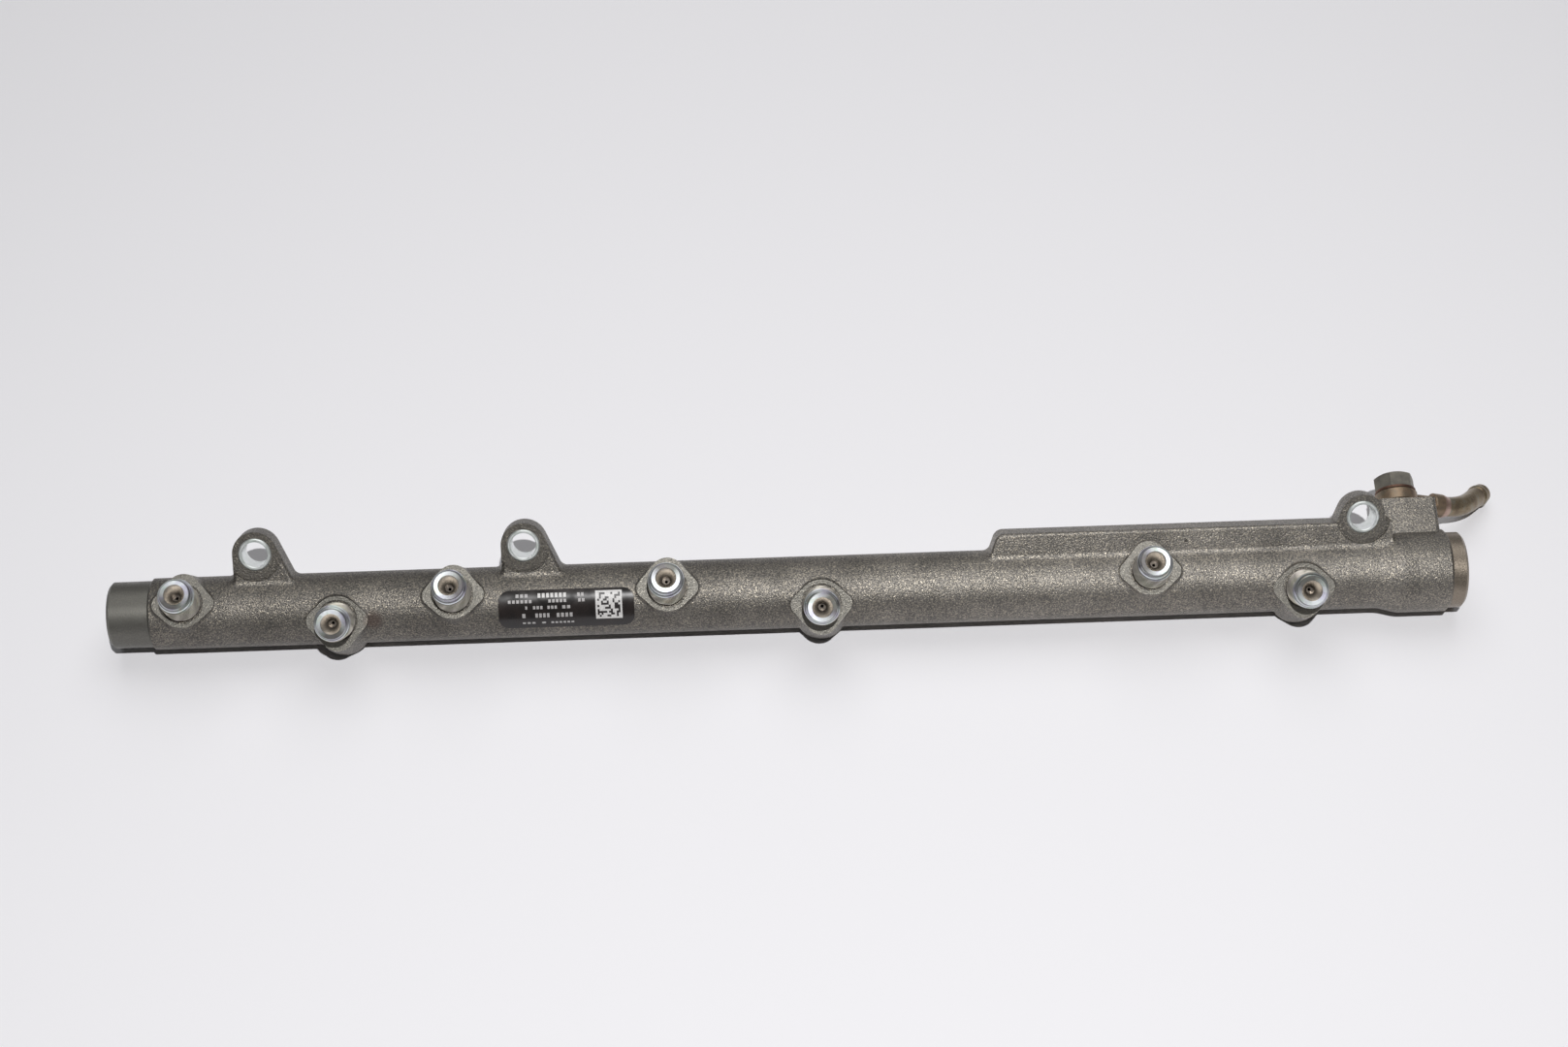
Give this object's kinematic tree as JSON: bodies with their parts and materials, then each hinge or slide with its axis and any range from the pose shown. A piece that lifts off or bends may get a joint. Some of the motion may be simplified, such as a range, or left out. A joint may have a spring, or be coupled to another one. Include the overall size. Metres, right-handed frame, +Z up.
{
  "type": "fuel rail",
  "caption": "Forged high-pressure fuel rail with threaded pipe stubs in two rows, sleeved mounting lugs, open sensor and valve ports and a banjo return pipe.",
  "frame": {"origin": "centre of the mouth of the pressure sensor's port", "axes": "+X along the rail towards the thick end, +Z up as the rail lies on a bench, on its thick end, its tube and its return pipe"},
  "size_m": [0.5356, 0.0723, 0.0445],
  "materials": {
    "forged_steel": "forged and shot-blasted, turned collars",
    "zinc_plating": "bright zinc plating, slightly iridescent",
    "insert_steel": "turned bare steel",
    "bolt_steel": "dull grey-brown aged plating",
    "fitting_steel": "brown aged plating with a braze ring",
    "pipe_steel": "olive-brown aged chromate",
    "washer_copper": "dull soft copper",
    "label_film": "glossy black film with plain white marks"
  },
  "bodies": {
    "root": {"banjo_bolt": "bolt_steel", "banjo_fitting": "fitting_steel", "data_label": "label_film", "mounting_sleeve_left": "zinc_plating", "mounting_sleeve_middle": "zinc_plating", "mounting_sleeve_right": "zinc_plating", "pressure_connector_1": "zinc_plating", "pressure_connector_2": "zinc_plating", "pressure_connector_3": "zinc_plating", "pressure_connector_4": "zinc_plating", "pressure_connector_5": "zinc_plating", "pressure_connector_6": "zinc_plating", "pressure_connector_7": "zinc_plating", "rail_body": "forged_steel", "return_pipe": "pipe_steel", "sealing_washer_head": "washer_copper", "sealing_washer_seat": "washer_copper", "throttle_insert_1": "insert_steel", "throttle_insert_2": "insert_steel", "throttle_insert_3": "insert_steel", "throttle_insert_4": "insert_steel", "throttle_insert_5": "insert_steel", "throttle_insert_6": "insert_steel", "throttle_insert_7": "insert_steel"}
  },
  "joints": []
}
